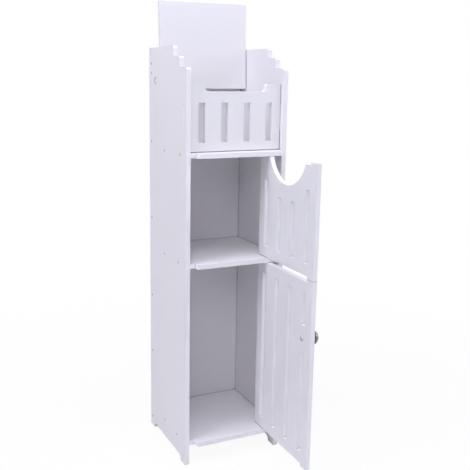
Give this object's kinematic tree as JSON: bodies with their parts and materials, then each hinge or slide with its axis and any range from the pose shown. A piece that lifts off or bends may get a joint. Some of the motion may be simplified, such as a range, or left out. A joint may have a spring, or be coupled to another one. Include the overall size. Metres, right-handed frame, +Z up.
{
  "type": "bathroom cabinet",
  "caption": "Slim free-standing bathroom cabinet with two slotted doors, open compartments, a fenced top box and a lift lid.",
  "frame": {"origin": "on the floor, under the middle of the box that holds the cabinet with both doors open at a right angle; the centre of the carcass's footprint is 86.9 mm behind it", "axes": "+Z up, front towards -Y, +X to the right seen from the front"},
  "size_m": [0.206, 0.3658, 0.888],
  "materials": {
    "white_board": "smooth satin foamed-plastic board",
    "white_pin_plastic": "moulded satin",
    "knob_chrome": "polished plated metal",
    "screw_steel": "plain zinc-plated"
  },
  "bodies": {
    "carcass": {"left_side_panel": "white_board", "right_side_panel": "white_board", "back_panel": "white_board", "top_shelf": "white_board", "middle_shelf": "white_board", "bottom_shelf": "white_board", "front_fence": "white_board", "top_shelf_screws": "screw_steel", "middle_shelf_screws": "screw_steel", "bottom_shelf_screws": "screw_steel", "back_panel_screws": "screw_steel"},
    "lid": {"lid": "white_board", "left_lid_pin": "white_pin_plastic", "right_lid_pin": "white_pin_plastic"},
    "upper_door": {"upper_door": "white_board", "upper_door_top_pin": "white_pin_plastic", "upper_door_bottom_pin": "white_pin_plastic"},
    "lower_door": {"lower_door": "white_board", "lower_door_top_pin": "white_pin_plastic", "lower_door_bottom_pin": "white_pin_plastic", "door_knob": "knob_chrome", "knob_screw": "screw_steel"}
  },
  "joints": [
    {"name": "lid_hinge", "type": "hinge", "parent": "carcass", "child": "lid", "pos_m": [0, 0.1479, 0.737], "axis": [1, 0, 0], "range_deg": [0, 92.76]},
    {"name": "upper_door_hinge", "type": "hinge", "parent": "carcass", "child": "upper_door", "pos_m": [0.0658, -0.0141, 0.5025], "axis": [0, 0, 1], "range_deg": [-90, 85]},
    {"name": "lower_door_hinge", "type": "hinge", "parent": "carcass", "child": "lower_door", "pos_m": [0.0658, -0.0141, 0.22225], "axis": [0, 0, 1], "range_deg": [-90, 85]}
  ]
}
